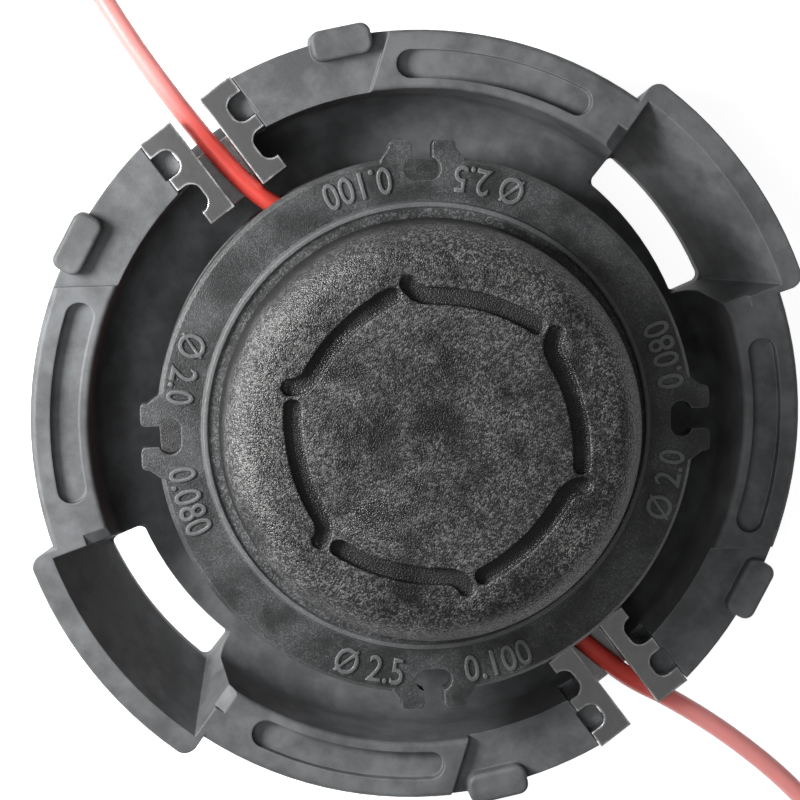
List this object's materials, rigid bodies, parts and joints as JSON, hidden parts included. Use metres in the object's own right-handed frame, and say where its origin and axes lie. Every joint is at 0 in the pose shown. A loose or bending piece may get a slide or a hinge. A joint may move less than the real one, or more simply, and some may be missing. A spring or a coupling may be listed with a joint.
{
  "type": "bump feed trimmer head",
  "caption": "Open two-line bump feed trimmer head: moulded cup housing with metal line eyelets, sprung line spool, textured bump knob and line ends.",
  "frame": {"origin": "centre of the drive hub's end face, on the axis of the head", "axes": "+Z along the axis towards the bump knob, +X through line eyelet a, latch wings towards +Y and -Y"},
  "size_m": [0.1923, 0.111, 0.0525],
  "materials": {
    "housing_plastic": "fine spark-eroded moulding",
    "spool_plastic": "fine spark-eroded moulding",
    "knob_plastic": "coarse spark-eroded moulding",
    "eyelet_plating": "bright zinc plating",
    "nut_steel": "zinc plated",
    "spring_steel": "drawn wire",
    "washer_steel": "stamped",
    "trimmer_line": "extruded nylon"
  },
  "bodies": {
    "housing": {"housing": "housing_plastic", "drive_nut": "nut_steel", "line_eyelet_a": "eyelet_plating", "line_eyelet_b": "eyelet_plating", "spring": "spring_steel", "line_tail_a": "trimmer_line", "line_tail_b": "trimmer_line"},
    "thrust_washer": {"thrust_washer": "washer_steel"},
    "spool": {"spool": "spool_plastic", "bump_knob": "knob_plastic", "line_winding": "trimmer_line"}
  },
  "joints": [
    {"name": "bump", "type": "slide", "parent": "housing", "child": "thrust_washer", "axis": [0, 0, 1], "range_m": [-0.0055, 0], "stiffness_N_per_m": 2500, "springref_m": 0.006, "deforming": ["spring"]},
    {"name": "spool_spin", "type": "hinge", "parent": "thrust_washer", "child": "spool", "pos_m": [0, 0, 0.03], "axis": [0, 0, 1], "continuous": true}
  ]
}
